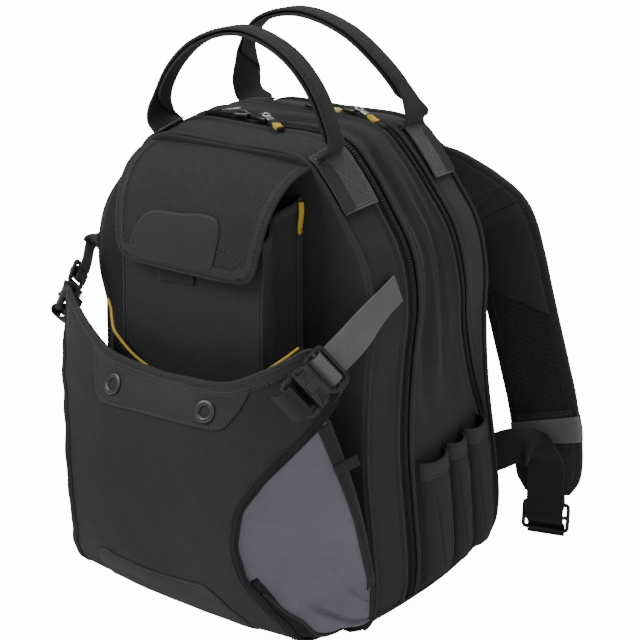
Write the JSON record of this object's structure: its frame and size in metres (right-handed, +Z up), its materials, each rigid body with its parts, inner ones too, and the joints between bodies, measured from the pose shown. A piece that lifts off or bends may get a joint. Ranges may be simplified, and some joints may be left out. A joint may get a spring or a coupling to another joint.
{
  "type": "tool backpack",
  "caption": "Zipped tool backpack with a flat base, gathered front pouch, flapped box pocket, side sleeves, webbing carry handles and padded shoulder straps.",
  "frame": {"origin": "on the floor under the middle of the body's width, on the base's underside", "axes": "+Z up, -Y towards the front pouch, +Y towards the wearer's back, +X to the right seen from the front"},
  "size_m": [0.4176, 0.3794, 0.5013],
  "materials": {
    "body_cloth": "coarse woven nylon, matt",
    "patch_cloth": "smooth coated nylon, satin",
    "base_cloth": "heavy coated nylon, matt",
    "zip_tape": "woven tape with nylon coil",
    "back_mesh": "padded cloth with air mesh",
    "grey_cloth": "thin coated nylon, slight sheen",
    "grey_webbing": "ribbed nylon webbing",
    "black_webbing": "ribbed nylon webbing",
    "black_plastic": "moulded, satin",
    "eyelet_metal": "blackened, satin",
    "zip_metal": "plated, satin",
    "yellow_tape": "woven tape"
  },
  "bodies": {
    "root": {"front_band": "body_cloth", "main_band": "body_cloth", "rear_band": "body_cloth", "front_panel": "body_cloth", "back_panel": "body_cloth", "pouch_panel": "body_cloth", "pouch_divider": "body_cloth", "box_pocket": "body_cloth", "flap": "body_cloth", "sleeve_1_right": "body_cloth", "sleeve_2_right": "body_cloth", "sleeve_3_right": "body_cloth", "sleeve_1_left": "body_cloth", "sleeve_2_left": "body_cloth", "sleeve_3_left": "body_cloth", "mouth_patch": "patch_cloth", "lower_patch": "patch_cloth", "flap_patch": "patch_cloth", "base": "base_cloth", "zip_front": "zip_tape", "zip_main": "zip_tape", "back_pad": "back_mesh", "shoulder_strap_right": "back_mesh", "shoulder_strap_left": "back_mesh", "pouch_gusset_right": "grey_cloth", "pouch_gusset_left": "grey_cloth", "compression_strap_right": "grey_webbing", "compression_strap_left": "grey_webbing", "strap_keeper_right": "grey_webbing", "strap_keeper_left": "grey_webbing", "handle_front": "black_webbing", "handle_rear": "black_webbing", "lower_webbing_right": "black_webbing", "lower_webbing_left": "black_webbing", "strap_tab_right": "black_webbing", "strap_tab_left": "black_webbing", "wing_loop_right": "black_webbing", "wing_loop_left": "black_webbing", "flap_loop": "black_webbing", "buckle_plug_right": "black_plastic", "buckle_plug_left": "black_plastic", "buckle_socket_right": "black_plastic", "buckle_socket_left": "black_plastic", "ladder_lock_right": "black_plastic", "ladder_lock_left": "black_plastic", "eyelet_right": "eyelet_metal", "eyelet_left": "eyelet_metal", "slider_front_left": "zip_metal", "slider_front_right": "zip_metal", "slider_main_left": "zip_metal", "slider_main_right": "zip_metal", "pull_front_left": "zip_metal", "pull_front_right": "zip_metal", "pull_main_left": "zip_metal", "pull_main_right": "zip_metal", "side_label": "yellow_tape"}
  },
  "joints": []
}
